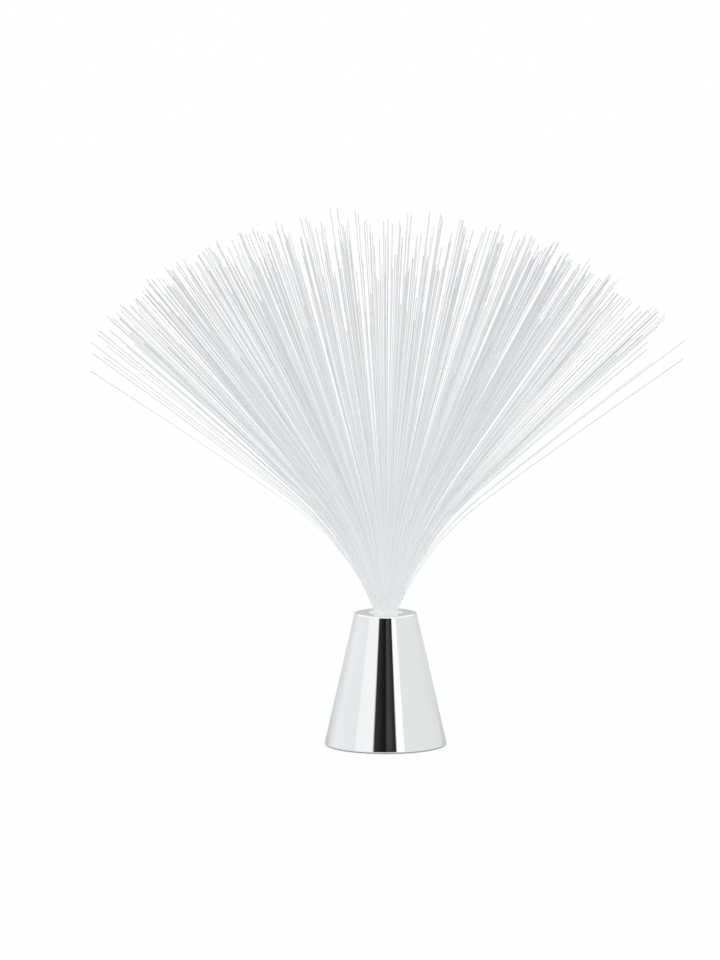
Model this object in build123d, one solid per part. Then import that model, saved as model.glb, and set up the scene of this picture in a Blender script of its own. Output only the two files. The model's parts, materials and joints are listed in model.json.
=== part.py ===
from build123d import *
import cmath
import math
import os
import random
import numpy as np

os.makedirs("parts", exist_ok=True)

# A battery table lamp: a polished cone with a plug-in spray of plastic optical fibres on top.
# Millimetres. The origin is the middle of the base on the table, +Z is up, and the slide
# switch is on the +Y side of the underside.

# Cone
cone_height = 76.0
cone_base_radius = 35.2  # where the side would meet the rim's plane if the rim were sharp
cone_top_radius = 17.9
shell_wall = 2.0
rim_gap = 0.8  # the feet hold the rim this far off the table
rim_round = 0.3
top_round = 1.2
opening_round = 0.2
rim_inner_radius = 31.6
rim_height = 3.2
top_opening_radius = 10.0

# Base plate, held by four screws that stand in cups and bite in posts inside the cone
plate_radius = 31.3
plate_low = 1.2
plate_thickness = 2.0
plate_clearance = 0.4  # between the cone's inside and what stands on the plate
screw_cup_radius = 3.6
screw_cup_wall = 1.5
screw_cup_rise = 1.0  # from the plate's top to the web that the screw heads sit on
screw_spots = [(x, y) for x in (-15.0, 15.0) for y in (-22.5, 22.5)]
post_radius = 3.0
post_high = 44.0
above_rim = 5.5  # from this height up, what stands on the plate follows the cone's slope
above_tray = 20.0
foot_radius = 2.2
foot_round = 0.4
foot_circle = 28.8

# AAA cells and their tray
cell_radius = 5.2
cell_length = 44.5
cell_nub_height = 0.8
cell_nub_radius = 1.9
cell_nub_foot = 0.3
cell_shoulder = 0.5
cell_shoulder_depth = 0.3
cell_flat_end_inset = 1.0  # the flat end stands proud of the can's rim inside this
cell_flat_end_proud = 0.2
cell_pitch = 10.9
cell_rows = [-cell_pitch, 0.0, cell_pitch]
cell_axis_z = 8.25
pocket_radius = 5.45
tray_half_length = 24.35
tray_wall = 1.4
opening_side_margin = 0.25  # the door's opening is this much wider than the tray
opening_front_margin = 0.65
tray_rear_wall_x = -28.0  # the rear wall is thicker, to reach over the door's knuckle
tray_rear_wall_high = 6.0

# Contacts
contact_thickness = 0.3
contact_width = 7.6
bump_radius = 1.4
bump_height = 0.4
strip_drop = 0.8  # the bridging strips lie this far below the cells' axes
tab_width = 3.0
tab_high = 17.8
tab_clearance = 0.1
spring_wire_radius = 0.25
spring_wire_sides = 12
spring_turns = 3
spring_wide_radius = 3.3
spring_narrow_radius = 2.1

# Battery door, hinged at its rear edge
door_thickness = 1.4
door_gap = 0.3
pivot_x = -24.6
pivot_z = 2.4
knuckle_radius = 1.2
pin_radius = 0.70
socket_radius = 0.76
pin_length = 1.4
pin_end_gap = 0.2
hinge_block_half_length = 2.0
hinge_block_high = 4.6
hinge_block_cheek = 0.85  # what closes the pin sockets' outer ends
tongue_half_width = 5.0
tongue_length = 7.2
tongue_slot = 0.6
tongue_nose_half_width = 4.5
tongue_nose_gap = 0.07
tongue_nose_low = 0.4  # above the door's outer face
grip_rib_radius = 0.3
grip_rib_half_width = 3.5
grip_rib_setbacks = [1.9, 3.2, 4.5]

# Slide switch
switch_y = 22.0
switch_travel = 3.0
switch_low = 5.2
switch_sheet = 0.5
switch_can_half = (6.0, 3.2)
switch_can_high = 9.4
switch_board_high = 10.6
switch_ear_x = 8.0
switch_ear_half = (10.0, 2.4)
switch_boss_radius = 2.2
terminal_pitch = 3.0
terminal_half = (0.7, 0.25)
terminal_low = 8.4
terminal_high = 13.6
knob_half = (1.5, 1.3)
knob_low = 1.7
knob_round = 0.3
knob_groove_pitch = 0.8
knob_groove_half = 0.15
knob_clearance = 0.3  # between the knob and the can's slot
window_margin = 0.1  # the plate's window is this much larger than that slot
slider_half = (3.6, 2.5)
slider_low = 5.9
slider_high = 7.6
bridge_half = (2.2, 1.5)
bridge_thickness = 0.2
bridge_bump_radius = 0.5
bridge_bump_x = 1.5
bridge_bump_half_length = 1.0
dish_length = 14.0
dish_width = 6.8
dish_corner = 2.0
dish_depth = 0.7

# Socket for the spray
collar_face_drop = 0.15
collar_neck_radius = 9.92
collar_body_radius = 8.6
collar_flange_radius = 12.4
collar_flange_low = 70.8
collar_flange_high = 72.4
collar_screw_x = 13.2
collar_ear_radius = 2.6
collar_face_round = 0.2
socket_mouth_round = 0.3
ear_post_bite = 0.2  # the posts over the ears run this far into the cone's top
join_bite = 0.5  # ears and bosses run this far into what carries them
ferrule_radius = 7.35
ferrule_bore_radius = 7.42
ferrule_wall = 0.6
ferrule_low = 59.05
ferrule_high = 77.4
ferrule_seat_gap = 0.05
groove_spots = [64.0, 68.0]
groove_width = 1.0
groove_depth = 0.2
potting_gap = 0.02

# Light under the socket
board_high = 46.4
board_thickness = 1.4
board_radius = 13.5
board_screw_y = 11.0
board_post_radius = 2.4
board_post_high = 53.0
board_rib_y = 9.4
board_rib_half = (1.2, 2.0)
light_passage_radius = 5.6
led_low = 49.4
led_height = 8.6
led_radius = 2.5
led_flange_radius = 2.95
led_flange_height = 1.0
led_lead_x = 1.27
led_lead_half = 0.25
led_lead_below = 1.0
resistor_y = -5.0
resistor_z = 43.2
resistor_half_length = 3.15
resistor_end_length = 1.25
resistor_end_radius = 1.15
resistor_waist_taper = 0.3
resistor_waist_radius = 0.95
resistor_leg_sunk = 0.35
resistor_leg_radius = 0.3
resistor_leg_x = 5.08
wire_pads = [(5.5, 5.0), (-5.5, 5.0)]
wire_radius = 0.6

# Screws: shank radius, shank length, head radius, head height
base_screw_size = (1.25, 10.0, 2.4, 1.7)
collar_screw_size = (1.0, 4.4, 1.9, 1.3)
board_screw_size = (0.95, 6.4, 1.8, 1.2)
switch_screw_size = (0.8, 3.0, 1.6, 1.1)
pilot_clearance = 0.05
pilot_spare = 0.4  # a pilot hole is this much longer than the shank
through_clearance = 0.3
head_clearance = 0.4

# Spray. Flat places and leans are complex numbers, x + iy; leans are in degrees from upright.
fiber_count = 700
fiber_corner_radius = 0.20  # the section is a square that fits inside a round strand
fiber_longest = 234.0
cut_scatter = 5.6  # how unevenly the tips are cut
spray_root_radius = 6.45
fan_lean = 44.1  # of the fibres round the outside of the bundle
lean_power = 0.645  # below 1 the fibres crowd a little towards the fan's edge
root_share = 0.415  # a fibre leans this share of its lean at its root
knee_share = 0.983
tip_share = 1.02
knee_at = 0.368  # share of the length where the root's strong bend gives way to a gentle one
lean_scatter = 1.26
side_lean = -1.17  # the whole fan leans a little to one side
stray_from = 0.88  # from this share of the bundle's radius outwards fibres stray
stray_lean = 4.0
most_lean = 56.1
clump_count = 273
clump_pull = 0.55  # how strongly neighbours cling together
least_gap = 0.36  # wanted between the middle lines of any two fibres
attempts = 24
scatter_seed = 36
stations = np.array([0, 0.015, 0.04, 0.08, 0.14, 0.22, 0.30, knee_at, 0.5, 0.75, 1.0])

# Sizes that follow from those above
top_z = rim_gap + cone_height
rim_top = rim_gap + rim_height
cone_slope = (cone_base_radius - cone_top_radius) / cone_height
cone_half_angle = math.atan(cone_slope)
top_underside = top_z - shell_wall
plate_high = plate_low + plate_thickness
cup_web_low = plate_high + screw_cup_rise
cup_web_high = cup_web_low + screw_cup_wall
contact_face = tray_half_length - contact_thickness
tray_half_width = cell_pitch + pocket_radius
opening_half_width = tray_half_width + opening_side_margin
opening_front = tray_half_length + opening_front_margin
opening_rear = pivot_x - knuckle_radius - door_gap
knuckle_clear_z = pivot_z + knuckle_radius + door_gap
door_half_width = opening_half_width - door_gap
door_front = opening_front - door_gap
door_high = plate_low + door_thickness
pin_end = door_half_width + pin_length
socket_end = pin_end + pin_end_gap
switch_ear_high = switch_low + switch_sheet
knob_slot_half = (knob_half[0] + switch_travel / 2 + knob_clearance, knob_half[1] + knob_clearance)
off_x = -switch_travel / 2  # the knob rests at the off end
board_low = board_high - board_thickness
ferrule_bore = ferrule_radius - ferrule_wall


def outer_radius(z):
    """Radius of the cone's outside at height z."""
    return cone_base_radius - (z - rim_gap) * cone_slope


def inner_radius(z):
    """Radius of the cone's inside at height z."""
    return outer_radius(z) - shell_wall / math.cos(cone_half_angle)


def turned(points, rounds=()):
    """Solid of revolution about Z from (radius, height) points, with some corners rounded."""
    section = make_face(Polyline(*points, close=True))
    for corner, radius in rounds:
        nearest = section.vertices().sort_by_distance(Vector(corner[0], corner[1], 0))[0]
        section = fillet(nearest, radius)
    return revolve(Plane.XZ * section, Axis.Z)


def rod(radius, low, high, x=0.0, y=0.0):
    """Upright cylinder between two heights."""
    upright = Cylinder(radius, high - low, align=(Align.CENTER, Align.CENTER, Align.MIN))
    return Pos(x, y, low) * upright


def rod_along_x(radius, low, high, y, z):
    """Cylinder along X between two x values."""
    return Pos(low, y, z) * Rot(0, 90, 0) * rod(radius, 0, high - low)


def rod_along_y(radius, low, high, x, z):
    """Cylinder along Y between two y values."""
    return Pos(x, low, z) * Rot(-90, 0, 0) * rod(radius, 0, high - low)


def block(x_low, x_high, y_low, y_high, z_low, z_high):
    """Box between two corners."""
    corner_box = Box(x_high - x_low, y_high - y_low, z_high - z_low, align=(Align.MIN,) * 3)
    return Pos(x_low, y_low, z_low) * corner_box


def middle_block(half, z_low, z_high, x=0.0, y=0.0):
    """Box centred on (x, y) between two heights, from its half sizes along X and Y."""
    return block(x - half[0], x + half[0], y - half[1], y + half[1], z_low, z_high)


def grown(half, by):
    """A pair of half sizes, each made larger."""
    return tuple(size + by for size in half)


def save(name, shape):
    """Writes one node, whether it is one solid or a group of separate ones."""
    solids = shape if isinstance(shape, list) else shape.solids()
    whole = solids[0] if len(solids) == 1 else Compound(children=list(solids))
    export_step(whole, f"parts/{name}.step")


# ---------------------------------------------------------------- screws


def screw(size):
    """Pan head cross screw that points up, with the head's seat at the origin."""
    shank_radius, shank_length, head_radius, head_height = size
    profile = [
        (0, -head_height),
        (head_radius * 0.7, -head_height),
        (head_radius, -head_height * 0.55),
        (head_radius, 0),
        (shank_radius, 0),
        (shank_radius, shank_length - shank_radius),
        (0, shank_length),
    ]
    slot_top = -head_height * 0.45
    slot_half = head_radius * 0.14
    slot_reach = head_radius * 0.6
    cross = middle_block((slot_reach, slot_half), -head_height, slot_top)
    cross += middle_block((slot_half, slot_reach), -head_height, slot_top)
    return turned(profile) - cross


def screws_up(size, spots, seat):
    """One screw at each spot, pointing up, with its head's seat at a height."""
    return [Pos(x, y, seat) * screw(size) for x, y in spots]


def pilot_hole(size, seat, x, y, direction=1):
    """Hole that a screw bites in, from its head's seat to a little past its point."""
    shank_radius, shank_length = size[:2]
    low, high = sorted((seat, seat + direction * (shank_length + pilot_spare)))
    return rod(shank_radius + pilot_clearance, low, high, x, y)


def through_hole(size, low, high, x, y):
    """Hole that a screw's shank passes freely."""
    return rod(size[0] + through_clearance, low, high, x, y)


collar_screw_spots = [(-collar_screw_x, 0.0), (collar_screw_x, 0.0)]
board_screw_spots = [(0.0, -board_screw_y), (0.0, board_screw_y)]
switch_screw_spots = [(-switch_ear_x, switch_y), (switch_ear_x, switch_y)]


# ---------------------------------------------------------------- cone


def make_cone_shell():
    shell = turned(
        [
            (rim_inner_radius, rim_gap),
            (cone_base_radius, rim_gap),
            (cone_top_radius, top_z),
            (top_opening_radius, top_z),
            (top_opening_radius, top_underside),
            (inner_radius(top_underside), top_underside),
            (inner_radius(rim_top), rim_top),
            (rim_inner_radius, rim_top),
        ],
        [
            ((cone_base_radius, rim_gap), rim_round),
            ((cone_top_radius, top_z), top_round),
            ((top_opening_radius, top_z), opening_round),
        ],
    )
    # the posts run into the wall, and stop inside it
    bite = shell_wall / 2
    inside = turned(
        [
            (0, rim_top),
            (outer_radius(rim_top) - bite, rim_top),
            (outer_radius(post_high) - bite, post_high),
            (0, post_high),
        ]
    )
    for x, y in screw_spots:
        shell += rod(post_radius, cup_web_high, post_high, x, y) & inside
    for x, y in screw_spots:
        shell -= pilot_hole(base_screw_size, cup_web_low, x, y)
    for x, y in collar_screw_spots:
        shell += rod(collar_ear_radius, collar_flange_high, top_underside + ear_post_bite, x, y)
        shell -= pilot_hole(collar_screw_size, collar_flange_low, x, y)
    return shell


# ---------------------------------------------------------------- base plate and tray


def tray_space(grow):
    """The room for the three cells, open below, made larger all round by grow."""
    half_length = tray_half_length + grow
    room = middle_block((half_length, tray_half_width + grow), plate_low, cell_axis_z)
    for y in cell_rows:
        room += rod_along_x(pocket_radius + grow, -half_length, half_length, y, cell_axis_z)
    return room


def room_inside_cone():
    """What the base may fill: the plate's disc and, above it, the inside of the cone."""
    return turned(
        [
            (0, plate_low),
            (plate_radius, plate_low),
            (plate_radius, plate_high),
            (inner_radius(above_rim) - plate_clearance, above_rim),
            (inner_radius(above_tray) - plate_clearance, above_tray),
            (0, above_tray),
        ]
    )


def make_base_plate():
    raised = tray_space(tray_wall)
    raised += block(
        tray_rear_wall_x, -tray_half_length, -tray_half_width, tray_half_width,
        plate_low, tray_rear_wall_high,
    )
    hinge_block = (hinge_block_half_length, socket_end + hinge_block_cheek)
    raised += middle_block(hinge_block, plate_low, hinge_block_high, pivot_x, 0.0)
    base = rod(plate_radius, plate_low, plate_high) + (raised & room_inside_cone())
    for x, y in screw_spots:
        base += rod(screw_cup_radius, plate_low, cup_web_high, x, y)
    for x, y in switch_screw_spots:
        base += rod(switch_boss_radius, plate_low, switch_low, x, y)

    # the tray, its opening below, and the door's knuckle and pin sockets
    base -= tray_space(0.0)
    base -= block(
        opening_rear, opening_front, -opening_half_width, opening_half_width,
        plate_low, plate_high,
    )
    base -= block(
        opening_rear, -tray_half_length, -opening_half_width, opening_half_width,
        plate_low, knuckle_clear_z,
    )
    base -= rod_along_y(socket_radius, -socket_end, socket_end, pivot_x, pivot_z)

    cup_bore = base_screw_size[2] + head_clearance
    for x, y in screw_spots:
        base -= rod(cup_bore, plate_low, cup_web_low, x, y)
        base -= through_hole(base_screw_size, cup_web_low, cup_web_high, x, y)
    for x, y in switch_screw_spots:
        base -= pilot_hole(switch_screw_size, switch_ear_high, x, y, direction=-1)

    # finger dish and window for the switch knob
    dish = RectangleRounded(dish_length, dish_width, dish_corner)
    base -= Pos(0, switch_y, plate_low) * extrude(dish, amount=dish_depth)
    window = grown(knob_slot_half, window_margin)
    base -= middle_block(window, plate_low, plate_high, 0, switch_y)

    # slots in the tray roof for the two solder tabs
    slot = (contact_thickness / 2, tab_width / 2 + tab_clearance)
    for side in (-1, 1):
        x = side * (contact_face + contact_thickness / 2)
        base -= middle_block(slot, cell_axis_z, tab_high, x, side * cell_pitch)
    return base


def make_battery_door():
    door = block(pivot_x, door_front, -door_half_width, door_half_width, plate_low, door_high)
    door += rod_along_y(knuckle_radius, -door_half_width, door_half_width, pivot_x, pivot_z)
    door += rod_along_y(pin_radius, -pin_end, pin_end, pivot_x, pivot_z)

    # spring tongue: two slots free it, and its nose stands against the opening's front edge
    slot_y = tongue_half_width + tongue_slot / 2
    for side in (-1, 1):
        near, far = sorted((side * (slot_y - tongue_slot / 2), side * (slot_y + tongue_slot / 2)))
        door -= block(door_front - tongue_length, door_front, near, far, plate_low, door_high)
    door += block(
        door_front, opening_front - tongue_nose_gap,
        -tongue_nose_half_width, tongue_nose_half_width,
        plate_low + tongue_nose_low, door_high,
    )
    for setback in grip_rib_setbacks:
        x = door_front - setback
        door += rod_along_y(grip_rib_radius, -grip_rib_half_width, grip_rib_half_width, x, plate_low)
    return door


def make_rubber_foot(x, y):
    foot = turned(
        [(0, 0), (foot_radius, 0), (foot_radius, plate_low), (0, plate_low)],
        [((foot_radius, 0), foot_round)],
    )
    return Pos(x, y, 0) * foot


# ---------------------------------------------------------------- cells and contacts


def plus_side(row):
    """Which way a cell's plus end points, as they alternate: +1 for +X."""
    return -1 if row == 1 else 1


def at_cell(row, shape):
    """Turns a shape made about Z so that Z is a cell's plus direction, on that cell's axis."""
    turn = Rot(0, 90 * plus_side(row), 0)
    return Pos(0, cell_rows[row], cell_axis_z) * turn * shape


# along a cell's own axis, from the tray's middle
plus_end = contact_face - bump_height
flat_end = plus_end - cell_length


def make_battery(row):
    can_end = plus_end - cell_nub_height
    rim_z = flat_end + cell_flat_end_proud
    cell = turned(
        [
            (0, flat_end),
            (cell_radius - cell_flat_end_inset - cell_flat_end_proud, flat_end),
            (cell_radius - cell_flat_end_inset, rim_z),
            (cell_radius, rim_z),
            (cell_radius, can_end - cell_shoulder_depth),
            (cell_radius - cell_shoulder, can_end),
            (cell_nub_radius + cell_nub_foot, can_end),
            (cell_nub_radius, can_end + cell_nub_foot),
            (cell_nub_radius, plus_end),
            (0, plus_end),
        ]
    )
    return at_cell(row, cell)


def make_contact_spring(row):
    """Conical spring between the sheet at the tray's end and the cell's flat end."""
    height = flat_end + contact_face - 2 * spring_wire_radius
    lean = math.degrees(math.atan((spring_wide_radius - spring_narrow_radius) / height))
    coil = Helix(height / spring_turns, height, spring_wide_radius, cone_angle=-lean)
    section = RegularPolygon(spring_wire_radius, spring_wire_sides)
    wire = sweep(Plane(origin=coil @ 0, z_dir=coil % 0) * section, path=coil, is_frenet=True)
    return at_cell(row, Pos(0, 0, spring_wire_radius - contact_face) * wire)


def sheet_span(side):
    """From and to along X of the contact sheet on one end wall of the tray."""
    return sorted((side * contact_face, side * tray_half_length))


def contact_pad(side, row):
    """Square contact sheet against the tray's end wall for one cell, with a bump if plus."""
    y = cell_rows[row]
    half = contact_width / 2
    pad = block(*sheet_span(side), y - half, y + half, cell_axis_z - half, cell_axis_z + half)
    if plus_side(row) == side:
        low, high = sorted((side * plus_end, side * contact_face))
        pad += rod_along_x(bump_radius, low, high, y, cell_axis_z)
    return pad


def make_bridge_plate(side, rows):
    """Two pads joined by a strip, which links two neighbouring cells."""
    first, second = rows
    low = cell_axis_z - contact_width / 2
    strip = block(
        *sheet_span(side), cell_rows[first], cell_rows[second], low, cell_axis_z - strip_drop
    )
    return contact_pad(side, first) + contact_pad(side, second) + strip


def make_tab_plate(side, row):
    """One pad with a tab for its wire, up through the tray's roof."""
    y = cell_rows[row]
    half = tab_width / 2
    tab = block(*sheet_span(side), y - half, y + half, cell_axis_z, tab_high)
    return contact_pad(side, row) + tab


# ---------------------------------------------------------------- slide switch


def make_switch_frame():
    can = middle_block(switch_can_half, switch_low, switch_can_high, 0, switch_y)
    can += middle_block(switch_ear_half, switch_low, switch_ear_high, 0, switch_y)
    hollow = grown(switch_can_half, -switch_sheet)
    can -= middle_block(hollow, switch_ear_high, switch_can_high, 0, switch_y)
    can -= middle_block(knob_slot_half, switch_low, switch_ear_high, 0, switch_y)
    for x, y in switch_screw_spots:
        can -= through_hole(switch_screw_size, switch_low, switch_ear_high, x, y)
    return can


def terminal_pins():
    """The three terminals, each a flat pin through the switch's board."""
    return [
        middle_block(terminal_half, terminal_low, terminal_high, x, switch_y)
        for x in (-terminal_pitch, 0.0, terminal_pitch)
    ]


def make_switch_board():
    board = middle_block(switch_can_half, switch_can_high, switch_board_high, 0, switch_y)
    for pin in terminal_pins():
        board -= pin
    return board


def make_switch_slider():
    slider = middle_block(slider_half, slider_low, slider_high, off_x, switch_y)
    knob = middle_block(knob_half, knob_low, slider_low, off_x, switch_y)
    knob = fillet(knob.edges().filter_by(Axis.Z), knob_round)
    groove = (knob_groove_half, knob_half[1])
    for step in (-1, 0, 1):
        x = off_x + step * knob_groove_pitch
        knob -= middle_block(groove, knob_low, knob_low + knob_round, x, switch_y)
    return slider + knob


def make_switch_bridge():
    """Sprung leaf on the slider, with two rounded ridges that wipe the terminals."""
    leaf_high = slider_high + bridge_thickness
    leaf = middle_block(bridge_half, slider_high, leaf_high, off_x, switch_y)
    reach = bridge_bump_half_length
    room = ((reach, reach), slider_high + bridge_thickness / 2, leaf_high + bridge_bump_radius)
    for side in (-1, 1):
        x = off_x + side * bridge_bump_x
        ridge = rod_along_y(bridge_bump_radius, switch_y - reach, switch_y + reach, x, leaf_high)
        leaf += ridge & middle_block(*room, x, switch_y)
    return leaf


# ---------------------------------------------------------------- socket and light


def make_top_collar():
    collar_high = top_z - collar_face_drop
    shoulder = ferrule_low - ferrule_seat_gap
    collar = turned(
        [
            (light_passage_radius, board_high),
            (collar_body_radius, board_high),
            (collar_body_radius, collar_flange_low),
            (collar_flange_radius, collar_flange_low),
            (collar_flange_radius, collar_flange_high),
            (collar_neck_radius, collar_flange_high),
            (collar_neck_radius, collar_high),
            (ferrule_bore_radius, collar_high),
            (ferrule_bore_radius, shoulder),
            (light_passage_radius, shoulder),
        ],
        [
            ((collar_neck_radius, collar_high), collar_face_round),
            ((ferrule_bore_radius, collar_high), socket_mouth_round),
        ],
    )
    # ears under the cone's top, and posts that hold the circuit board
    flange = (collar_flange_low, collar_flange_high)
    for x, y in collar_screw_spots:
        collar += rod(collar_ear_radius, *flange, x, y) - rod(collar_flange_radius - join_bite, *flange)
        collar -= through_hole(collar_screw_size, *flange, x, y)
    post = (board_high, board_post_high)
    for x, y in board_screw_spots:
        boss = rod(board_post_radius, *post, x, y)
        boss += middle_block(board_rib_half, *post, x, math.copysign(board_rib_y, y))
        collar += boss - rod(collar_body_radius - join_bite, *post)
        collar -= pilot_hole(board_screw_size, board_low, x, y)
    return collar


def lead_rods():
    """The LED's two square legs."""
    half = (led_lead_half, led_lead_half)
    low = board_low - led_lead_below
    return [middle_block(half, low, led_low, x) for x in (-led_lead_x, led_lead_x)]


def resistor_legs():
    """The resistor's bent legs, up through the board."""
    legs = Part()
    for side in (-1, 1):
        legs += rod(resistor_leg_radius, resistor_z, board_high, side * resistor_leg_x, resistor_y)
        inner_end = side * (resistor_half_length - resistor_leg_sunk)
        outer_end = side * (resistor_leg_x + resistor_leg_radius)
        low, high = sorted((inner_end, outer_end))
        legs += rod_along_x(resistor_leg_radius, low, high, resistor_y, resistor_z)
    return legs


def make_led_board():
    board = rod(board_radius, board_low, board_high)
    for x, y in board_screw_spots:
        board -= through_hole(board_screw_size, board_low, board_high, x, y)
    for lead in lead_rods():
        board -= lead
    return board - resistor_legs()


def make_led():
    dome_base = led_low + led_height - led_radius
    flange_high = led_low + led_flange_height
    outline = [
        Line((0, led_low), (led_flange_radius, led_low)),
        Line((led_flange_radius, led_low), (led_flange_radius, flange_high)),
        Line((led_flange_radius, flange_high), (led_radius, flange_high)),
        Line((led_radius, flange_high), (led_radius, dome_base)),
        RadiusArc((led_radius, dome_base), (0, dome_base + led_radius), -led_radius),
        Line((0, dome_base + led_radius), (0, led_low)),
    ]
    return revolve(Plane.XZ * make_face(outline), Axis.Z)


def make_resistor():
    """A body with thicker ends, made about Z and laid along X, and its legs."""
    ends_from = resistor_half_length - resistor_end_length
    waist_to = ends_from - resistor_waist_taper
    body = turned(
        [
            (0, -resistor_half_length),
            (resistor_end_radius, -resistor_half_length),
            (resistor_end_radius, -ends_from),
            (resistor_waist_radius, -waist_to),
            (resistor_waist_radius, waist_to),
            (resistor_end_radius, ends_from),
            (resistor_end_radius, resistor_half_length),
            (0, resistor_half_length),
        ]
    )
    return Pos(0, resistor_y, resistor_z) * Rot(0, 90, 0) * body + resistor_legs()


# ---------------------------------------------------------------- wires


def bend_radii(points):
    """The largest neat bend at each inner point of a route: 0.45 of the shorter run."""
    radii = []
    for before, here, after in zip(points, points[1:], points[2:]):
        into, out = Vector(*here) - Vector(*before), Vector(*after) - Vector(*here)
        turn = math.radians(into.get_angle(out))
        radii.append(0.45 * min(into.length, out.length) / math.tan(turn / 2))
    return radii


def make_wire(points):
    """Round wire along straight runs joined by tangent arcs."""
    route = FilletPolyline(*points, radius=bend_radii(points))
    return sweep(Plane(origin=route @ 0, z_dir=route % 0) * Circle(wire_radius), path=route)


# each wire lies against a solder tab or a terminal at one end
tab_side_x = contact_face - wire_radius
terminal_side_y = switch_y - terminal_half[1] - wire_radius
battery_wire_route = [
    (tab_side_x, cell_pitch, 16.4),
    (tab_side_x, cell_pitch, 22.0),
    (17.5, 12.5, 25.0),
    (10.0, 16.0, 24.0),
    (terminal_pitch, terminal_side_y, 19.5),
    (terminal_pitch, terminal_side_y, 12.0),
]
lamp_wire_route = [
    (0.0, terminal_side_y, 12.0),
    (0.0, terminal_side_y, 19.5),
    (1.0, 17.0, 26.0),
    (4.0, 9.5, 32.0),
    (*wire_pads[0], 38.5),
    (*wire_pads[0], board_low),
]
return_wire_route = [
    (-tab_side_x, -cell_pitch, 16.4),
    (-tab_side_x, -cell_pitch, 22.0),
    (-18.5, -7.0, 27.5),
    (-11.0, 0.5, 31.5),
    (*wire_pads[1], 38.0),
    (*wire_pads[1], board_low),
]


# ---------------------------------------------------------------- spray


def make_bundle_ferrule():
    """White plastic sleeve with two grooves round it."""
    tube = rod(ferrule_radius, ferrule_low, ferrule_high)
    tube -= rod(ferrule_bore, ferrule_low, ferrule_high)
    for low in groove_spots:
        band = (low, low + groove_width)
        tube -= rod(ferrule_radius, *band) - rod(ferrule_radius - groove_depth, *band)
    return tube


def make_potted_end():
    return rod(ferrule_bore - potting_gap, ferrule_low, ferrule_high)


def sunflower(count):
    """Points spread evenly over the unit disc, like the seeds of a sunflower."""
    golden_angle = math.pi * (3 - math.sqrt(5))
    return [
        cmath.rect(math.sqrt((number + 0.5) / count), number * golden_angle)
        for number in range(count)
    ]


def draw_lean(spot, clumps, scatter, chance):
    """Which way and how far a fibre leans, by its place in the bundle."""
    nearest = min(clumps, key=lambda clump: abs(clump - spot))
    place = spot + (nearest - spot) * clump_pull
    lean = place / abs(place) * fan_lean * abs(place) ** lean_power + side_lean
    lean += complex(chance.gauss(0, scatter), chance.gauss(0, scatter))
    stray = chance.expovariate(1 / stray_lean)
    if abs(spot) > stray_from:
        lean += spot / abs(spot) * stray
    return lean * min(1.0, most_lean / abs(lean))


def fiber_line(spot, lean, length):
    """Places and headings at the stations along a fibre, from its root."""
    shares = np.interp(stations, [0, knee_at, 1], [root_share, knee_share, tip_share])
    tilts = math.radians(abs(lean)) * shares
    half_turns = np.diff(tilts) / 2
    chords = np.diff(stations) * length * np.sinc(half_turns / np.pi)
    middles = tilts[:-1] + half_turns
    out = np.append(0.0, np.cumsum(chords * np.sin(middles)))
    up = np.append(0.0, np.cumsum(chords * np.cos(middles)))
    flat = spot * spray_root_radius + lean / abs(lean) * out
    flat_heading = lean / abs(lean) * np.sin(tilts)
    places = np.stack([flat.real, flat.imag, up], axis=1)
    headings = np.stack([flat_heading.real, flat_heading.imag, np.cos(tilts)], axis=1)
    return places, headings


def gap_to(placed, places, headings):
    """The smallest gap between a fibre's middle line and those of the fibres already placed."""
    apart = placed - places
    apart -= (apart * headings).sum(axis=2, keepdims=True) * headings
    here = apart[:, :-1]
    step = apart[:, 1:] - here
    share = -(here * step).sum(axis=2) / (step**2).sum(axis=2)
    nearest = here + step * np.clip(share, 0, 1)[..., None]
    return math.sqrt((nearest**2).sum(axis=2).min(initial=fiber_longest))


def spread_fibers():
    """Root, lean and length of every fibre. Each is drawn again until it clears the others."""
    chance = random.Random(scatter_seed)
    clumps = sunflower(clump_count)
    placed = np.empty((0, len(stations), 3))
    fibers = []
    for spot in sunflower(fiber_count):
        widest = -1.0
        for attempt in range(attempts):
            lean = draw_lean(spot, clumps, lean_scatter * (1 - attempt / attempts), chance)
            length = fiber_longest - abs(chance.gauss(0, cut_scatter))
            places, headings = fiber_line(spot, lean, length)
            gap = gap_to(placed, places, headings)
            if gap > widest:
                widest = gap
                best = (spot, lean, length)
                best_places = places
            if gap > least_gap:
                break
        fibers.append(best)
        placed = np.append(placed, [best_places], axis=0)
    return fibers


def make_fiber(spot, lean, length):
    """One fibre: a thin rod along two arcs, strongly bent and then gently."""
    outward = Vector(lean.real, lean.imag, 0).normalized()
    root = Vector(spot.real * spray_root_radius, spot.imag * spray_root_radius, ferrule_high)
    fan_plane = Plane(origin=root, x_dir=outward, z_dir=outward.cross(Vector(0, 0, 1)))
    tilts = [abs(lean) * share for share in (root_share, knee_share, tip_share)]
    runs = [length * knee_at, length * (1 - knee_at)]
    start = (0, 0)
    heading = (math.sin(math.radians(tilts[0])), math.cos(math.radians(tilts[0])))
    path = Curve()
    for run, low, high in zip(runs, tilts, tilts[1:]):
        arc = JernArc(start, heading, run / math.radians(high - low), low - high)
        path += arc
        start = arc @ 1
        heading = arc % 1
    path = fan_plane * path
    section = Plane(origin=path @ 0, x_dir=fan_plane.z_dir, z_dir=path % 0)
    section *= RegularPolygon(fiber_corner_radius, 4)
    return sweep(section, path=path)


# ---------------------------------------------------------------- writing the nodes

save("cone_shell", make_cone_shell())
save("base_plate", make_base_plate())
save("battery_door", make_battery_door())
foot_spots = [(foot_circle, 0), (0, foot_circle), (-foot_circle, 0), (0, -foot_circle)]
for number, (foot_x, foot_y) in enumerate(foot_spots, start=1):
    save(f"rubber_foot_{number}", make_rubber_foot(foot_x, foot_y))

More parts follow.
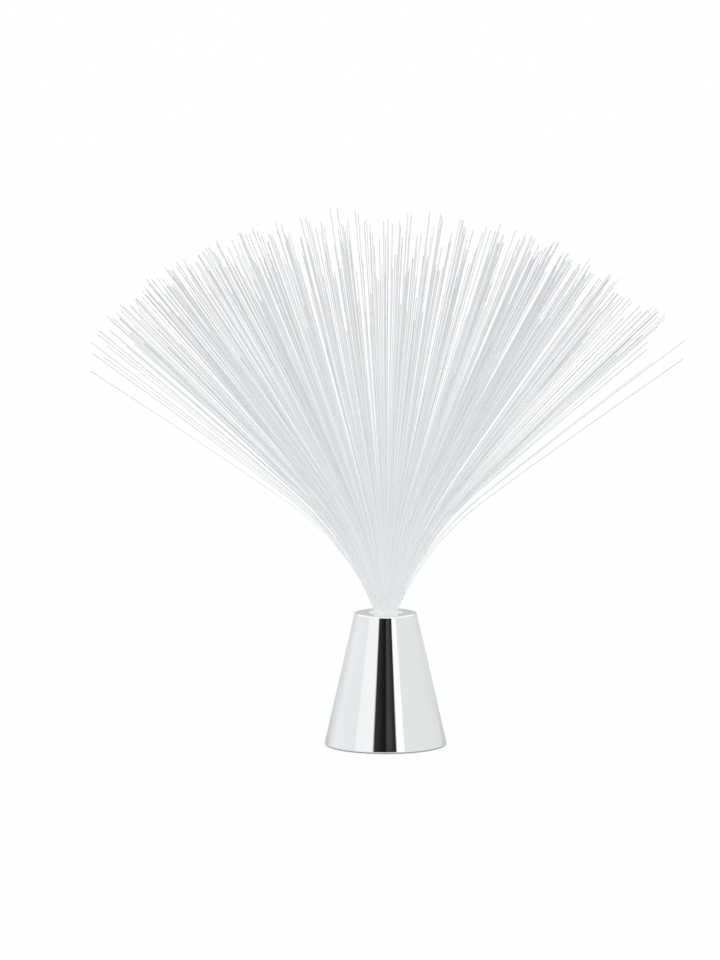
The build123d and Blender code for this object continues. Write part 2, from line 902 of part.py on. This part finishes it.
for cell in range(3):
    save(f"battery_{cell + 1}", make_battery(cell))
    save(f"contact_spring_{cell + 1}", make_contact_spring(cell))
save("bridge_plate_front", make_bridge_plate(1, (0, 1)))
save("bridge_plate_rear", make_bridge_plate(-1, (1, 2)))
save("positive_plate", make_tab_plate(1, 2))
save("negative_plate", make_tab_plate(-1, 0))

save("switch_frame", make_switch_frame())
save("switch_board", make_switch_board())
save("switch_pins", terminal_pins())
save("switch_slider", make_switch_slider())
save("switch_bridge", make_switch_bridge())

save("top_collar", make_top_collar())
save("led_board", make_led_board())
save("led", make_led())
save("led_leads", lead_rods())
save("resistor", make_resistor())

save("base_screws", screws_up(base_screw_size, screw_spots, cup_web_low))
save("collar_screws", screws_up(collar_screw_size, collar_screw_spots, collar_flange_low))
save("board_screws", screws_up(board_screw_size, board_screw_spots, board_low))
switch_screw = Rot(180, 0, 0) * screw(switch_screw_size)
save("switch_screws", [Pos(x, y, switch_ear_high) * switch_screw for x, y in switch_screw_spots])

save("wire_battery", make_wire(battery_wire_route))
save("wire_lamp", make_wire(lamp_wire_route))
save("wire_return", make_wire(return_wire_route))

save("bundle_ferrule", make_bundle_ferrule())
save("potted_end", make_potted_end())
save("optical_fibers", [make_fiber(*fiber) for fiber in spread_fibers()])
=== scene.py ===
import cmath
import json
import math
import random

import bpy
import numpy as np
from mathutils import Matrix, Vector


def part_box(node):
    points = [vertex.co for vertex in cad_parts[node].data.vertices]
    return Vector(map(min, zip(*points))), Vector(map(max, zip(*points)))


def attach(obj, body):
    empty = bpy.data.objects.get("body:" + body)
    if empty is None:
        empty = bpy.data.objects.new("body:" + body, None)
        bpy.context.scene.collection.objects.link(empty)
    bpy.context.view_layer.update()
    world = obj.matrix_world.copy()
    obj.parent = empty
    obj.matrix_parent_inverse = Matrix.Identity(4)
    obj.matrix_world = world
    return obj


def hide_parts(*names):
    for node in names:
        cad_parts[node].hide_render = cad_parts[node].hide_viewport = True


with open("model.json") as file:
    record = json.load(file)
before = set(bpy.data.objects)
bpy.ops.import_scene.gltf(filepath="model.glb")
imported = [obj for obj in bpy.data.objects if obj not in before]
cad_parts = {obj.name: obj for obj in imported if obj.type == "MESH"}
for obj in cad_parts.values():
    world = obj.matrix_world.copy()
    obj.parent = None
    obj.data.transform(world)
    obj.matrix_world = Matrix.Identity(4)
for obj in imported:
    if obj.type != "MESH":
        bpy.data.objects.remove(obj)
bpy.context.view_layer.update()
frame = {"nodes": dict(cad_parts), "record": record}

MM = 0.001
scene = bpy.context.scene
scene.view_settings.view_transform = "Standard"


# ---------------------------------------------------------------- shader maths


class Value:
    """One output of a shader node. Arithmetic on it adds Math nodes."""

    def __init__(self, shader, socket):
        self.shader = shader
        self.socket = socket

    def math(self, operation, *others):
        return self.shader.node("ShaderNodeMath", {"operation": operation}, self, *others)

    def __add__(self, other):
        return self.math("ADD", other)

    __radd__ = __add__

    def __sub__(self, other):
        return self.math("SUBTRACT", other)

    def __mul__(self, other):
        return self.math("MULTIPLY", other)

    def __truediv__(self, other):
        return self.math("DIVIDE", other)

    def __abs__(self):
        return self.math("ABSOLUTE")

    def above(self, edge):
        """1 where this is more than edge, else 0."""
        return self.math("GREATER_THAN", edge)

    def below(self, edge):
        """1 where this is less than edge, else 0."""
        return self.math("LESS_THAN", edge)


class Shader:
    """The node tree of one material, or of the world."""

    def __init__(self, tree):
        self.tree = tree
        self.tree.nodes.clear()

    def node(self, kind, settings, *values, out=0, **named):
        """Adds a node: its settings, its first inputs in order, and others by name or place."""
        made = self.tree.nodes.new(kind)
        for name, setting in settings.items():
            setattr(made, name, setting)
        for place, value in enumerate(values):
            self.put(made.inputs[place], value)
        for name, value in named.items():
            place = int(name[1:]) if name[0] == "_" else name.replace("_", " ")
            self.put(made.inputs[place], value)
        return Value(self, made.outputs[out]) if made.outputs else None

    def put(self, socket, value):
        if isinstance(value, Value):
            self.tree.links.new(value.socket, socket)
        elif hasattr(value, "__len__") and socket.type == "RGBA" and len(value) == 3:
            socket.default_value = (*value, 1.0)
        else:
            socket.default_value = value

    def object_place(self):
        return self.node("ShaderNodeTexCoord", {}, out="Object")

    def axes(self, vector):
        """The X, Y and Z of a vector."""
        split = self.node("ShaderNodeSeparateXYZ", {}, vector).socket.node
        return [Value(self, output) for output in split.outputs]

    def rays(self, *names):
        """For each kind of ray that Light Path names: 1 on such a ray, else 0."""
        path = self.node("ShaderNodeLightPath", {}).socket.node
        return [Value(self, path.outputs[name]) for name in names]

    def scaled(self, vector, scale):
        return self.node("ShaderNodeMapping", {}, vector, Scale=scale)

    def noise(self, vector, scale, detail=3.0, roughness=0.55):
        return self.node(
            "ShaderNodeTexNoise", {}, Vector=vector, Scale=scale, Detail=detail, Roughness=roughness
        )

    def ramp(self, value, stops):
        """A colour ramp. Its stops are (place, grey or colour)."""
        made = self.node("ShaderNodeValToRGB", {}, value)
        elements = made.socket.node.color_ramp.elements
        while len(elements) < len(stops):
            elements.new(0.5)
        for element, (place, tone) in zip(elements, stops):
            element.position = place
            grey = isinstance(tone, (int, float))
            element.color = (tone, tone, tone, 1.0) if grey else (*tone, 1.0)
        return made

    def mix(self, share, first, second, blend="MIX"):
        """A colour between two, or their product where blend is MULTIPLY."""
        settings = {"data_type": "RGBA", "blend_type": blend}
        return self.node("ShaderNodeMix", settings, out=2, _0=share, _6=first, _7=second)

    def spread(self, value, low, high):
        """A value from 0 to 1 brought between low and high."""
        return value * (high - low) + low

    def bump(self, height, strength, distance):
        return self.node(
            "ShaderNodeBump", {}, Height=height, Strength=strength, Distance=distance, out="Normal"
        )

    def principled(self, **sockets):
        """The material's surface. Names are the sockets', with _ for a space."""
        surface = self.node("ShaderNodeBsdfPrincipled", {}, **sockets)
        self.node("ShaderNodeOutputMaterial", {}, surface)


def new_material(name):
    made = bpy.data.materials.new(name)
    made.use_nodes = True
    return made, Shader(made.node_tree)


# ---------------------------------------------------------------- finishes

spray_root_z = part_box("potted_end")[1].z


def make_chrome():
    """Bright plating: almost a mirror, with faint polishing marks and a little handling haze."""
    made, s = new_material("bright_chrome")
    place = s.object_place()
    marks = s.noise(s.scaled(place, (260.0, 260.0, 900.0)), scale=1.0, detail=2.0)
    haze = s.noise(place, scale=38.0, detail=4.0, roughness=0.6)
    hazy = (0.90, 0.915, 0.92)
    clean = (0.94, 0.95, 0.955)
    added_by_marks = 0.012
    s.principled(
        Base_Color=s.mix(haze, hazy, clean),
        Metallic=1.0,
        Roughness=s.spread(haze, low=0.018, high=0.05) + marks * added_by_marks,
    )
    return made


def darker(colour, share):
    return tuple(part * share for part in colour)


def make_moulded_plastic(name, colour, low, high, grain):
    """Moulded plastic with the fine even grain of a spark-finished tool."""
    made, s = new_material(name)
    place = s.object_place()
    texture = s.noise(place, scale=grain, detail=2.0)
    clouds = s.noise(place, scale=90.0)
    s.principled(
        Base_Color=s.mix(clouds, darker(colour, 0.86), colour),
        Roughness=s.spread(clouds, low, high),
        Normal=s.bump(texture, strength=0.12, distance=0.04 * MM),
    )
    return made


def make_rubber():
    """Black rubber, greyer where dust and scuffs have caught in it."""
    made, s = new_material("black_rubber")
    dust = s.noise(s.object_place(), scale=700.0, detail=4.0, roughness=0.65)
    scuffs = s.ramp(dust, [(0.52, 0.0), (0.72, 1.0)])
    rubber = (0.022, 0.022, 0.023)
    scuffed = (0.075, 0.073, 0.070)
    s.principled(
        Base_Color=s.mix(scuffs, rubber, scuffed),
        Roughness=s.spread(dust, low=0.72, high=0.9),
        Normal=s.bump(dust, strength=0.25, distance=0.06 * MM),
    )
    return made


def make_metal(name, colour, low, high):
    """Bare or plated metal, with the fine marks of tumbling."""
    made, s = new_material(name)
    place = s.object_place()
    marks = s.noise(place, scale=900.0)
    patches = s.noise(place, scale=260.0)
    s.principled(
        Base_Color=s.mix(patches, darker(colour, 0.84), colour),
        Metallic=1.0,
        Roughness=s.spread(marks, low, high),
        Normal=s.bump(marks, strength=0.06, distance=0.03 * MM),
    )
    return made


CELL_BARE_END = 1.15 * MM  # the wrap folds over the can's rim and leaves this much of each end bare
CELL_BAND_END = 5.2 * MM  # a pale band reaches this far in from each end


def make_cell_wrap():
    """Plain shrink wrap, paler near the cell's bare steel ends."""
    made, s = new_material("cell_wrap")
    low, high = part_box("battery_1")
    place = s.object_place()
    x, _, _ = s.axes(place)
    from_middle = abs(x - (low.x + high.x) / 2)
    half = (high.x - low.x) / 2
    bare = from_middle.above(half - CELL_BARE_END)
    band = from_middle.above(half - CELL_BAND_END) - bare
    creases = s.noise(s.scaled(place, (300.0, 1400.0, 1400.0)), scale=1.0)
    blue_grey = (0.30, 0.37, 0.45)
    silver = (0.66, 0.68, 0.70)
    steel = (0.64, 0.63, 0.61)
    s.principled(
        Base_Color=s.mix(bare, s.mix(band, blue_grey, silver), steel),
        Metallic=bare,
        Roughness=s.spread(creases, low=0.22, high=0.38),
        Normal=s.bump(creases, strength=0.08, distance=0.04 * MM),
    )
    return made


WEAVE = 2400.0  # noise scale across a thread of the cloth
WEAVE_ALONG = WEAVE / 12  # and along it


def make_board(name, colour, thread, low, high):
    """Laminate with the threads of its cloth just showing, two ways across."""
    made, s = new_material(name)
    place = s.object_place()
    along = s.noise(s.scaled(place, (WEAVE, WEAVE_ALONG, WEAVE)), scale=1.0, detail=2.0)
    across = s.noise(s.scaled(place, (WEAVE_ALONG, WEAVE, WEAVE)), scale=1.0, detail=2.0)
    cloth = along.math("MAXIMUM", across)
    s.principled(
        Base_Color=s.mix(s.ramp(cloth, [(0.5, 0.0), (0.75, 1.0)]), colour, thread),
        Roughness=s.spread(cloth, low, high),
        Normal=s.bump(cloth, strength=0.1, distance=0.03 * MM),
    )
    return made


def make_wire_cover(name, colour):
    """Extruded insulation, faintly uneven along its length."""
    made, s = new_material(name)
    uneven = s.noise(s.object_place(), scale=420.0)
    s.principled(
        Base_Color=s.mix(uneven, darker(colour, 0.7), colour),
        Roughness=s.spread(uneven, low=0.32, high=0.46),
        Normal=s.bump(uneven, strength=0.08, distance=0.05 * MM),
    )
    return made


def make_white_socket():
    """White moulded plastic, a touch glossy, that scatters light a little below its surface."""
    made, s = new_material("white_plastic")
    place = s.object_place()
    clouds = s.noise(place, scale=120.0)
    grain = s.noise(place, scale=2400.0, detail=2.0)
    shaded = (0.91, 0.92, 0.925)
    white = (0.96, 0.965, 0.97)
    s.principled(
        Base_Color=s.mix(clouds, shaded, white),
        Roughness=s.spread(clouds, low=0.24, high=0.36),
        Normal=s.bump(grain, strength=0.05, distance=0.03 * MM),
        Subsurface_Weight=0.15,
        Subsurface_Radius=(1.0, 1.0, 1.0),
        Subsurface_Scale=1.5 * MM,
    )
    return made


RESISTOR_RINGS = (-2.3, -1.0, 0.2, 2.2)  # where their middles are along the body, in mm
RESISTOR_RING_WIDTH = 0.56 * MM
RESISTOR_BODY_LENGTH = 6.4 * MM


def make_lacquer():
    """Tan resistor lacquer with painted rings round it, and the bare legs past its ends."""
    made, s = new_material("resistor_lacquer")
    place = s.object_place()
    x, _, _ = s.axes(place)
    rings = sum(abs(x - at * MM).below(RESISTOR_RING_WIDTH / 2) for at in RESISTOR_RINGS)
    uneven = s.noise(place, scale=500.0)
    leg = abs(x).above(RESISTOR_BODY_LENGTH / 2)
    tan = (0.72, 0.58, 0.38)
    brown = (0.33, 0.13, 0.05)
    tinned = (0.66, 0.66, 0.64)
    s.principled(
        Base_Color=s.mix(leg, s.mix(rings, tan, brown), tinned),
        Metallic=leg,
        Roughness=s.spread(uneven, low=0.25, high=0.4),
    )
    return made


def make_clear(name, tint, transmission, roughness):
    """Clear cast resin, faintly clouded inside."""
    made, s = new_material(name)
    clouds = s.noise(s.object_place(), scale=300.0)
    paler_by = 1.05
    rougher_by = 0.08
    pale = tuple(min(1.0, part * paler_by) for part in tint)
    s.principled(
        Base_Color=s.mix(clouds, tint, pale),
        Roughness=s.spread(clouds, roughness, roughness + rougher_by),
        Transmission_Weight=transmission,
        IOR=1.5,
    )
    return made


# The fibre's pale grey with painted light: near white at the root, where the packed bundle glows,
# and darker towards the tips, where strands stand alone.
STRAND_COLOURS_AND_PAINTED_LIGHT = [  # by the share of the longest strand's length, from the root
    (0.0, (0.95, 0.97, 0.975)),
    (0.02, (0.94, 0.96, 0.965)),
    (0.06, (0.845, 0.875, 0.885)),
    (0.3, (0.825, 0.855, 0.87)),
    (0.7, (0.77, 0.80, 0.82)),
    (1.0, (0.69, 0.71, 0.73)),
]
PAINTED_SIDE_SHADE_GROWS = [(0.03, 0.0), (0.3, 1.0)]  # over these shares the painted side shade fades in
# painted shade on strands that lean far sideways, and painted light on upright ones
SIDE_PAINTED_SHADE = (0.74, 0.74, 0.74)
MIDDLE_PAINTED_LIGHT = (1.04, 1.04, 1.04)


def make_strand_plastic():
    """Clear fibre, as a pale grey with painted light and shade: lighter at the root, darker at the
    tips and painted shade on strands that lean far sideways.
    """
    made, s = new_material("clear_fiber")
    place = s.object_place()
    from_root = s.node("ShaderNodeMapping", {}, place, Location=(0.0, 0.0, -spray_root_z))
    distance = s.node("ShaderNodeVectorMath", {"operation": "LENGTH"}, from_root, out="Value")
    tone = s.node("ShaderNodeAttribute", {"attribute_name": "strand_tone_and_painted_side_shade"}, out="Fac")
    along = distance / (STRAND_LONGEST * MM)
    # painted light along the strand: brighter near the root, darker towards the tips
    colour = s.ramp(along, STRAND_COLOURS_AND_PAINTED_LIGHT)
    # painted side shade from the strand's tone: darker where it leans far sideways
    shade = s.mix(tone, SIDE_PAINTED_SHADE, MIDDLE_PAINTED_LIGHT)
    s.principled(
        Base_Color=s.mix(s.ramp(along, PAINTED_SIDE_SHADE_GROWS), colour, shade, blend="MULTIPLY"),
        Roughness=s.spread(tone, low=0.22, high=0.36),
        IOR=1.49,
    )
    return made


# ---------------------------------------------------------------- the spray

# Lengths are in mm and leans in degrees from upright. Flat places and leans are complex numbers,
# x + iy.
STRANDS = 700
STRAND_DIAMETER = 0.45
STRAND_LONGEST = 234.0
CUT_SCATTER = 5.6  # how unevenly the tips are cut
ROOT_RADIUS = 6.45  # of the bundle, where it leaves its resin
FAN_LEAN = 44.1  # of the strands round the outside of the bundle
LEAN_POWER = 0.645  # below 1 the strands crowd a little towards the fan's edge
ROOT_SHARE = 0.415  # a strand leans this share of its lean at its root
KNEE_SHARE = 0.983
TIP_SHARE = 1.02
KNEE_AT = 0.368  # share of the length where the root's strong bend gives way to a gentle one
LEAN_SCATTER = 1.26
SIDE_LEAN = -1.17  # the whole fan leans a little to one side
STRAY_FROM = 0.88  # from this share of the bundle's radius outwards strands stray
STRAY_LEAN = 4.0  # how much further out they lean, on average
MOST_LEAN = 56.1
CLUMPS = 273
CLUMP_PULL = 0.55  # how strongly neighbours cling together
LEAST_GAP = 0.36  # wanted between the middle lines of any two strands
ATTEMPTS = 24  # at finding such a place for a strand
SCATTER_SEED = 36
TONE_SCATTER = 0.03  # how much neighbouring strands differ in shade
STATIONS = np.array([0, 0.015, 0.04, 0.08, 0.14, 0.22, 0.30, KNEE_AT, 0.5, 0.75, 1.0])
SMOOTH_BELOW = 65  # degrees between faces


def sunflower(count):
    """Points spread evenly over the unit disc, like the seeds of a sunflower."""
    golden_angle = math.pi * (3 - math.sqrt(5))
    return [
        cmath.rect(math.sqrt((number + 0.5) / count), number * golden_angle)
        for number in range(count)
    ]


def draw_lean(spot, clumps, scatter, chance):
    """Which way and how far a strand leans, by its place in the bundle."""
    nearest = min(clumps, key=lambda clump: abs(clump - spot))
    place = spot + (nearest - spot) * CLUMP_PULL
    lean = place / abs(place) * FAN_LEAN * abs(place) ** LEAN_POWER + SIDE_LEAN
    lean += complex(chance.gauss(0, scatter), chance.gauss(0, scatter))
    stray = chance.expovariate(1 / STRAY_LEAN)
    if abs(spot) > STRAY_FROM:
        lean += spot / abs(spot) * stray
    return lean * min(1.0, MOST_LEAN / abs(lean))


def strand_line(spot, lean, length):
    """Places and headings at the stations along a strand, from its root."""
    shares = np.interp(STATIONS, [0, KNEE_AT, 1], [ROOT_SHARE, KNEE_SHARE, TIP_SHARE])
    tilts = math.radians(abs(lean)) * shares
    half_turns = np.diff(tilts) / 2
    chords = np.diff(STATIONS) * length * np.sinc(half_turns / np.pi)
    middles = tilts[:-1] + half_turns
    out = np.append(0.0, np.cumsum(chords * np.sin(middles)))
    up = np.append(0.0, np.cumsum(chords * np.cos(middles)))
    flat = spot * ROOT_RADIUS + lean / abs(lean) * out
    flat_heading = lean / abs(lean) * np.sin(tilts)
    places = np.stack([flat.real, flat.imag, up], axis=1)
    headings = np.stack([flat_heading.real, flat_heading.imag, np.cos(tilts)], axis=1)
    return places, headings


def gap_to(placed, places, headings):
    """The smallest gap between a strand's middle line and those of the strands already placed."""
    apart = placed - places
    apart -= (apart * headings).sum(axis=2, keepdims=True) * headings
    here = apart[:, :-1]
    step = apart[:, 1:] - here
    share = -(here * step).sum(axis=2) / (step**2).sum(axis=2)
    nearest = here + step * np.clip(share, 0, 1)[..., None]
    return math.sqrt((nearest**2).sum(axis=2).min(initial=math.inf))


def spread_strands(chance):
    """Every strand's line. Each is drawn again, up to ATTEMPTS times, until it clears the others;
    else the try with the widest gap is kept.
    """
    clumps = sunflower(CLUMPS)
    placed = np.empty((0, len(STATIONS), 3))
    for spot in sunflower(STRANDS):
        widest = -1.0
        for attempt in range(ATTEMPTS):
            lean = draw_lean(spot, clumps, LEAN_SCATTER * (1 - attempt / ATTEMPTS), chance)
            length = STRAND_LONGEST - abs(chance.gauss(0, CUT_SCATTER))
            places, headings = strand_line(spot, lean, length)
            gap = gap_to(placed, places, headings)
            if gap > widest:
                widest = gap
                best_places = places
            if gap > LEAST_GAP:
                break
        placed = np.append(placed, [best_places], axis=0)
    return placed


def make_spray(material):
    """The strands, drawn as curves with a round section and then made one mesh."""
    chance = random.Random(SCATTER_SEED)
    lines = spread_strands(chance)
    curve = bpy.data.curves.new("fiber_spray", "CURVE")
    curve.dimensions = "3D"
    curve.bevel_depth = STRAND_DIAMETER / 2 * MM
    curve.bevel_resolution = 1
    curve.use_fill_caps = True
    for line in lines:
        strand = curve.splines.new("POLY")
        strand.points.add(len(line) - 1)
        for point, (x, y, up) in zip(strand.points, line * MM):
            point.co = (x, y, spray_root_z + up, 1.0)
    spray = bpy.data.objects.new("fiber_spray", curve)
    scene.collection.objects.link(spray)
    bpy.ops.object.select_all(action="DESELECT")
    spray.select_set(True)
    bpy.context.view_layer.objects.active = spray
    bpy.ops.object.convert(target="MESH")
    bpy.ops.object.shade_smooth_by_angle(angle=math.radians(SMOOTH_BELOW))

    mesh = spray.data
    points_each = len(mesh.vertices) // STRANDS
    # painted shade: a strand's tone drops the further it leans sideways, with a little random
    # scatter
    sideways = np.abs(lines[:, -1, 0] - lines[:, 0, 0]) / STRAND_LONGEST
    tones_with_painted_side_shade = 1 - sideways + [chance.uniform(-TONE_SCATTER, TONE_SCATTER) for _ in lines]
    tone = mesh.attributes.new("strand_tone_and_painted_side_shade", "FLOAT", "POINT")
    tone.data.foreach_set("value", np.repeat(tones_with_painted_side_shade, points_each).astype(np.float32))
    mesh.materials.clear()
    mesh.materials.append(material)
    # clear strands pass light on to each other and to what is under them
    spray.visible_diffuse = False
    spray.visible_shadow = False
    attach(spray, "spray")
    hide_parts("optical_fibers")


# ---------------------------------------------------------------- dressing the frame's nodes

PHENOLIC = ((0.30, 0.16, 0.07), (0.42, 0.25, 0.12))
GREEN_LAMINATE = ((0.02, 0.16, 0.07), (0.05, 0.24, 0.11))

finishes = {
    "black_plastic": make_moulded_plastic(
        "black_plastic", (0.030, 0.030, 0.032), low=0.42, high=0.58, grain=2600.0
    ),
    "chrome_plating": make_chrome(),
    "black_rubber": make_rubber(),
    "zinc_steel": make_metal("zinc_steel", (0.66, 0.66, 0.64), low=0.25, high=0.42),
    "cell_wrap": make_cell_wrap(),
    "nickel_steel": make_metal("nickel_steel", (0.74, 0.71, 0.66), low=0.2, high=0.34),
    "phenolic_board": make_board("phenolic_board", *PHENOLIC, low=0.45, high=0.6),
    "circuit_board": make_board("circuit_board", *GREEN_LAMINATE, low=0.3, high=0.42),
    "switch_plastic": make_moulded_plastic(
        "switch_plastic", (0.028, 0.028, 0.028), low=0.35, high=0.5, grain=3200.0
    ),
    "switch_brass": make_metal("switch_brass", (0.80, 0.62, 0.30), low=0.22, high=0.36),
    "white_plastic": make_white_socket(),
    "clear_epoxy": make_clear(
        "clear_epoxy", (0.90, 0.92, 0.93), transmission=0.85, roughness=0.05
    ),
    "resistor_lacquer": make_lacquer(),
    "red_wire": make_wire_cover("red_wire", (0.60, 0.03, 0.025)),
    "black_wire": make_wire_cover("black_wire", (0.028, 0.028, 0.030)),
    "clear_resin": make_clear("clear_resin", (0.84, 0.87, 0.88), transmission=0.0, roughness=0.18),
    "clear_fiber": make_strand_plastic(),
}
for part in frame["record"]["subparts"]:
    node = frame["nodes"][part["node"]]
    node.data.materials.clear()
    node.data.materials.append(finishes[part["material_slot"]])

make_spray(finishes["clear_fiber"])


# ---------------------------------------------------------------- floor, light and camera

# What polish mirrors of the room, by degrees round from the front: minus to the camera's left, plus
# to its right.
ROOM = [
    # from behind, round the left side
    (-180, (0.60, 0.61, 0.62)),
    (-150, (0.68, 0.69, 0.70)),
    (-140, (0.75, 0.765, 0.775)),
    (-128, (0.80, 0.82, 0.83)),
    (-116, (0.87, 0.895, 0.91)),
    (-64, (0.83, 0.86, 0.87)),
    # a bright soft box
    (-60, (0.95, 0.965, 0.96)),
    (-26, (0.97, 0.985, 0.99)),
    # the dark gap at the front
    (-22.5, (0.034, 0.034, 0.036)),
    (-4, (0.009, 0.009, 0.010)),
    (0, (0.012, 0.012, 0.012)),
    (3, (0.062, 0.060, 0.058)),
    (11, (0.052, 0.049, 0.048)),
    (15, (0.030, 0.026, 0.025)),
    (20, (0.022, 0.019, 0.018)),
    # a brighter, narrow soft box
    (22, (1.08, 1.08, 1.08)),
    (36, (1.06, 1.06, 1.07)),
    # round the right side to behind
    (38, (0.81, 0.83, 0.835)),
    (110, (0.80, 0.82, 0.82)),
    (140, (0.75, 0.765, 0.765)),
    (155, (0.66, 0.67, 0.67)),
    (180, (0.60, 0.61, 0.62)),
]
CEILING = (1.08, 1.08, 1.08)
CEILING_STARTS = [(0.36, 0.0), (0.44, 1.0)]  # by the upward part of a direction

FLOOR_SIZE = 12.0  # metres
NEAR = 3.0 * MM  # the floor is painted in shade where something is within this distance of it
FOOT_SHADE = [(0.0, 0.30), (0.3, 0.44), (0.5, 0.82), (0.7, 1.0)]  # by how open the place is
SHADE_SAMPLES = 12
TABLE = (0.95, 0.95, 0.95)
TABLE_IN_FRONT = (0.92, 0.92, 0.92)  # as polish shows it
TABLE_BEHIND_PAINTED_SHADE = [  # painted shade as polish shows it, by metres behind the lamp
    (0.0, (0.58, 0.59, 0.59)),
    (0.2, (0.66, 0.67, 0.67)),
    (1.0, (0.755, 0.77, 0.77)),
]
PAPER_SEEN = 0.96  # how much of what the camera sees of the floor is bright paper
PAPER_MIRRORED = 0.95  # and of what polish sees of it


def room(s, x, y):
    """The room's colour in a direction."""
    round_about = x.math("ARCTAN2", y * -1) / (2 * math.pi) + 0.5
    return s.ramp(round_about, [(degrees / 360 + 0.5, colour) for degrees, colour in ROOM])


def make_floor():
    """White table. It reads as bright paper, with painted shade at the lamp's foot and, for polish,
    close behind it.
    """
    bpy.ops.mesh.primitive_plane_add(size=FLOOR_SIZE)
    floor = bpy.context.object
    floor.name = "floor"
    made, s = new_material("white_table")
    camera_ray, glossy_ray = s.rays("Is Camera Ray", "Is Glossy Ray")
    settings = {"samples": SHADE_SAMPLES}
    open_air = s.node("ShaderNodeAmbientOcclusion", settings, Distance=NEAR, out="AO")
    _, y, _ = s.axes(s.object_place())
    # painted shade: the table is painted dimmer close behind the lamp, which only polish shows
    mirrored = s.mix(y.above(0.0), TABLE_IN_FRONT, s.ramp(y, TABLE_BEHIND_PAINTED_SHADE))
    tone = s.mix(glossy_ray, (1.0, 1.0, 1.0), mirrored)
    white = s.node("ShaderNodeBsdfDiffuse", {}, Color=TABLE)
    # painted shade: the paper's glow drops where the lamp's foot closes the place in
    paper = s.node("ShaderNodeEmission", {}, Color=tone, Strength=s.ramp(open_air, FOOT_SHADE))
    seen = camera_ray * PAPER_SEEN + glossy_ray * PAPER_MIRRORED
    lit = s.node("ShaderNodeMixShader", {}, seen, white, paper)
    # from below the floor is clear, so that the lamp's underside can be seen
    back = s.node("ShaderNodeNewGeometry", {}, out="Backfacing")
    clear = s.node("ShaderNodeBsdfTransparent", {})
    s.node("ShaderNodeOutputMaterial", {}, s.node("ShaderNodeMixShader", {}, back, lit, clear))
    floor.data.materials.append(made)


def make_world():
    """An even white room. Only polish sees its soft boxes, its dark gap and its bright ceiling."""
    world = bpy.data.worlds.new("studio")
    scene.world = world
    world.use_nodes = True
    s = Shader(world.node_tree)
    x, y, z = s.axes(s.node("ShaderNodeTexCoord", {}, out="Generated"))
    mirrored = s.mix(s.ramp(z, CEILING_STARTS), room(s, x, y), CEILING)
    studio = s.node("ShaderNodeBackground", {}, Color=mirrored, Strength=1.0)
    white = s.node("ShaderNodeBackground", {}, Color=(1.0, 1.0, 1.0), Strength=1.0)
    rays = s.rays("Is Camera Ray", "Is Glossy Ray", "Is Transmission Ray")
    camera_ray, glossy_ray, clear_ray = rays
    lit = s.node("ShaderNodeMixShader", {}, glossy_ray, white, studio)
    seen = camera_ray.math("MAXIMUM", clear_ray)
    s.node("ShaderNodeOutputWorld", {}, s.node("ShaderNodeMixShader", {}, seen, lit, white))


# In mm
CAMERA_SIDE = -14.76
CAMERA_BACK = 3000.0
CAMERA_HEIGHT = 514.4
AIM_HEIGHT = 153.5
LENS = 197.4
SENSOR_WIDTH = 36.0
FARTHEST_SEEN = 50.0  # metres


def make_camera():
    camera = bpy.data.objects.new("camera", bpy.data.cameras.new("camera"))
    scene.collection.objects.link(camera)
    camera.data.sensor_width = SENSOR_WIDTH
    camera.data.lens = LENS
    camera.data.clip_end = FARTHEST_SEEN
    camera.location = Vector((CAMERA_SIDE, -CAMERA_BACK, CAMERA_HEIGHT)) * MM
    aim = Vector((CAMERA_SIDE, 0.0, AIM_HEIGHT)) * MM
    camera.rotation_euler = (aim - camera.location).to_track_quat("-Z", "Y").to_euler()
    scene.camera = camera


make_floor()
make_world()
make_camera()
